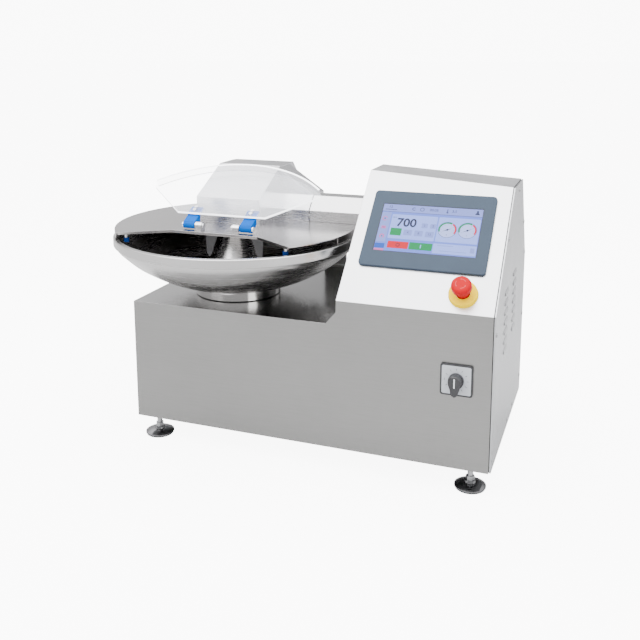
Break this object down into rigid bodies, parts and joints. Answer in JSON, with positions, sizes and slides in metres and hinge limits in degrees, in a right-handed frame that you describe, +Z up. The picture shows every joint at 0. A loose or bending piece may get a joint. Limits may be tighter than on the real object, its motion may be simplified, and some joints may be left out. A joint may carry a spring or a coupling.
{
  "type": "meat bowl cutter",
  "caption": "Countertop bowl cutter: a round bowl turns under a hinged lid and knife hood, driven from a steel cabinet with a sloping touch panel tower on levelling feet.",
  "frame": {"origin": "bottom centre of the whole machine's box, on the floor under the feet", "axes": "+X along the front from the bowl to the control tower, +Y to the back, +Z up"},
  "size_m": [0.9132, 0.6076, 0.6216],
  "materials": {
    "steel_brushed": "brushed sheet, fine vertical and horizontal grain",
    "steel_polished": "mirror polished sheet",
    "steel_bright": "fine satin sheet",
    "steel_turned": "turned and ground",
    "blade_steel": "ground and honed",
    "chrome_foot": "chrome plated",
    "zinc": "zinc plated",
    "aluminium": "turned",
    "cast_grey": "grey enamel over castings",
    "rubber_black": "matt",
    "blue_plastic": "satin",
    "clear_plastic": "clear polycarbonate",
    "black_plastic": "fine moulded grain",
    "grey_plastic": "satin",
    "bezel_grey": "fine moulded grain",
    "red_plastic": "glossy",
    "yellow_plastic": "satin",
    "screen_glass": "lit touch screen",
    "side_grey": "smooth grey sheet"
  },
  "bodies": {
    "frame": {"main_casing": "steel_brushed", "base_plate": "zinc", "side_gasket": "rubber_black", "right_side_cover": "side_grey", "side_louvres": "side_grey", "side_cover_screws": "zinc", "rear_cover": "steel_brushed", "rear_cover_screws": "zinc", "cable_gland": "black_plastic", "foot_pads": "chrome_foot", "foot_rubbers": "rubber_black", "foot_spindles": "zinc", "foot_nuts": "zinc", "bowl_bearing_housing": "cast_grey", "bowl_bearings": "steel_turned", "shaft_seals": "rubber_black", "bowl_gearmotor": "cast_grey", "bowl_belt": "rubber_black", "knife_shaft_housing": "steel_turned", "knife_bearings": "steel_turned", "knife_motor": "cast_grey", "knife_belt": "rubber_black", "inverter_box": "black_plastic", "arm_cover": "steel_bright", "lid_hinge_posts": "steel_brushed", "lid_hinge_pins": "steel_turned", "hmi_bezel": "bezel_grey", "hmi_screen": "screen_glass", "hmi_gasket": "rubber_black", "hmi_rear_box": "zinc", "estop_collar": "yellow_plastic", "estop_contact_block": "black_plastic", "switch_frame": "black_plastic", "switch_plate": "grey_plastic", "switch_body": "black_plastic"},
    "bowl": {"bowl": "steel_polished", "bowl_flange": "steel_turned", "bowl_shaft": "steel_turned", "bowl_pulley": "aluminium", "bowl_nut": "steel_turned"},
    "bowl_motor": {"bowl_motor_pulley": "aluminium"},
    "knives": {"knife_shaft": "steel_turned", "knife_spacers": "steel_turned", "sickle_knives": "blade_steel", "knife_nut": "steel_turned", "knife_pulley": "aluminium"},
    "knife_motor_shaft": {"knife_motor_pulley": "aluminium"},
    "lid": {"lid_plate": "steel_polished", "knife_hood": "steel_bright", "lid_hinge_arms": "steel_bright", "hub_baffles": "grey_plastic", "guide_posts": "steel_turned", "guide_pads": "blue_plastic", "shield_brackets": "steel_turned", "shield_pins": "steel_turned"},
    "shield": {"splash_shield": "clear_plastic", "shield_hinge_arms": "blue_plastic", "shield_screws": "steel_turned"},
    "estop_button": {"estop_button": "red_plastic"},
    "switch_knob": {"switch_knob": "black_plastic"}
  },
  "joints": [
    {"name": "bowl_spin", "type": "hinge", "parent": "frame", "child": "bowl", "pos_m": [-0.17255, -0.01985, 0.35], "axis": [0, 0, 1], "continuous": true},
    {"name": "bowl_motor_spin", "type": "hinge", "parent": "frame", "child": "bowl_motor", "pos_m": [0.03195, -0.01385, 0.135], "axis": [0, 0, 1], "continuous": true},
    {"name": "knife_spin", "type": "hinge", "parent": "frame", "child": "knives", "pos_m": [-0.18055, 0.12215, 0.4991], "axis": [1, 0, 0], "continuous": true},
    {"name": "knife_motor_spin", "type": "hinge", "parent": "frame", "child": "knife_motor_shaft", "pos_m": [0.27395, 0.07045, 0.178], "axis": [1, 0, 0], "continuous": true},
    {"name": "lid_hinge", "type": "hinge", "parent": "frame", "child": "lid", "pos_m": [-0.17255, 0.27245, 0.502], "axis": [-1, 0, 0], "range_deg": [0, 95]},
    {"name": "shield_hinge", "type": "hinge", "parent": "lid", "child": "shield", "pos_m": [-0.17255, -0.11955, 0.503], "axis": [1, 0, 0], "range_deg": [0, 153]},
    {"name": "estop_press", "type": "slide", "parent": "frame", "child": "estop_button", "axis": [0, 0.6997, -0.7145], "range_m": [0, 0.005], "stiffness_N_per_m": 1500, "springref_m": -0.002},
    {"name": "switch_turn", "type": "hinge", "parent": "frame", "child": "switch_knob", "pos_m": [0.38105, -0.17955, 0.2446], "axis": [0, 1, 0], "range_deg": [0, 90]}
  ],
  "couplings": [
    {"joint": "bowl_motor_spin", "follows": "bowl_spin", "ratio": 2.5},
    {"joint": "knife_motor_spin", "follows": "knife_spin", "ratio": 0.74194}
  ]
}
